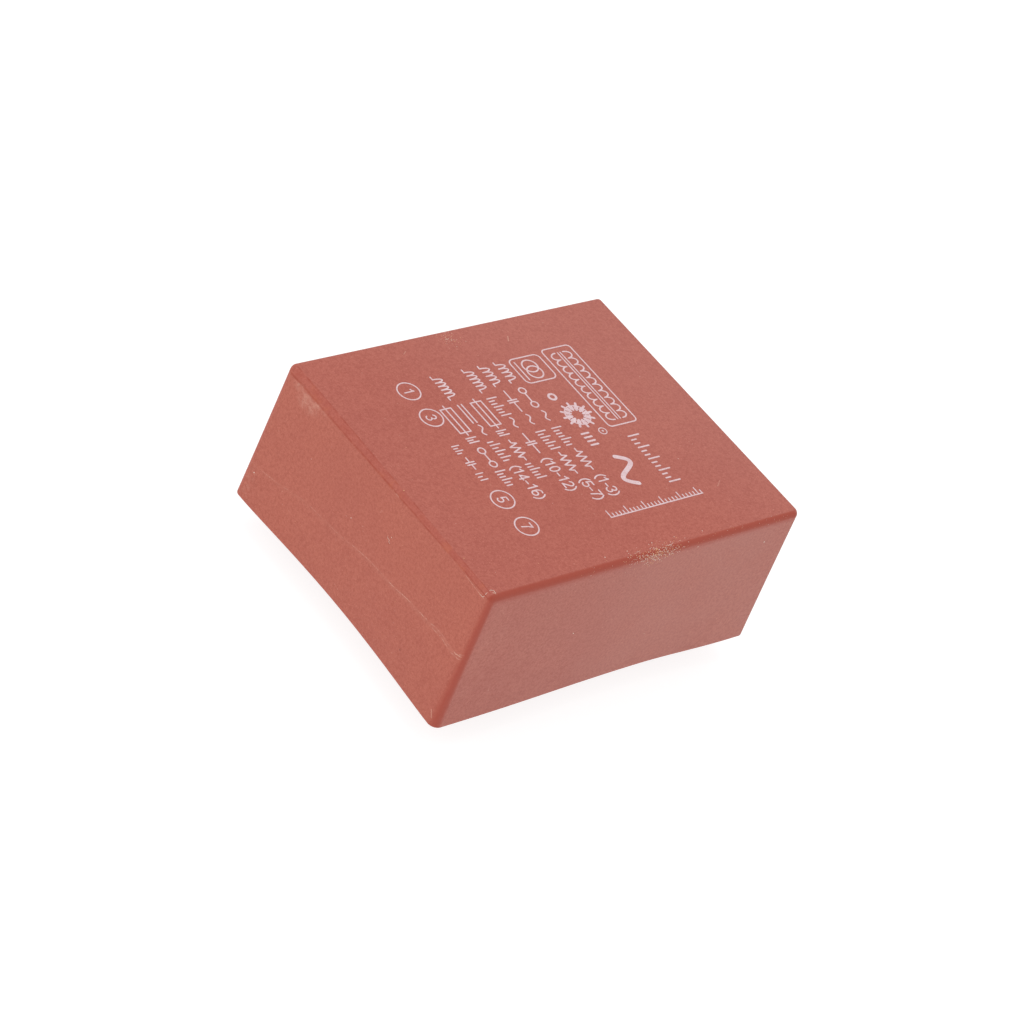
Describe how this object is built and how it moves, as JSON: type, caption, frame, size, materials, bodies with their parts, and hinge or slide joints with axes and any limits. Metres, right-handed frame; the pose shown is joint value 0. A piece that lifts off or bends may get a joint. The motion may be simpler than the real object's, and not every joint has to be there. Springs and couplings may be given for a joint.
{
  "type": "pcb transformer",
  "caption": "Low-profile mains transformer potted in a red-brown rectangular case, with round tinned pins under it for a printed circuit board.",
  "frame": {"origin": "centre of the pin grid, in the plane of the case's open rim, which is the board's surface", "axes": "+Z away from the board, through the case's roof; +X along the long side, from the primary's row of pins to the secondary's; pin 1 is in the quarter with -X and +Y"},
  "size_m": [0.053, 0.0438, 0.0257],
  "materials": {
    "case": "matt moulded thermoplastic, red-brown",
    "potting": "cast resin, red-brown, faintly glossy",
    "core_steel": "varnished silicon steel sheet",
    "bobbin": "natural glass-filled plastic",
    "fine_wire": "fine enamelled copper wire, wound in layers",
    "thick_wire": "enamelled copper wire, wound in layers",
    "tape": "clear yellow polyester tape",
    "tinned_pin": "bright tinned wire",
    "solder": "satin solder"
  },
  "bodies": {
    "root": {"case": "case", "potting_resin": "potting", "u_laminations": "core_steel", "i_laminations": "core_steel", "bobbin_1": "bobbin", "bobbin_2": "bobbin", "primary_winding_1": "fine_wire", "primary_winding_2": "fine_wire", "secondary_winding_1": "thick_wire", "secondary_winding_2": "thick_wire", "primary_tape_1": "tape", "primary_tape_2": "tape", "secondary_tape_1": "tape", "secondary_tape_2": "tape", "pin_1": "tinned_pin", "pin_3": "tinned_pin", "pin_5": "tinned_pin", "pin_7": "tinned_pin", "pin_10": "tinned_pin", "pin_12": "tinned_pin", "pin_14": "tinned_pin", "pin_16": "tinned_pin", "solder_joints": "solder"}
  },
  "joints": []
}
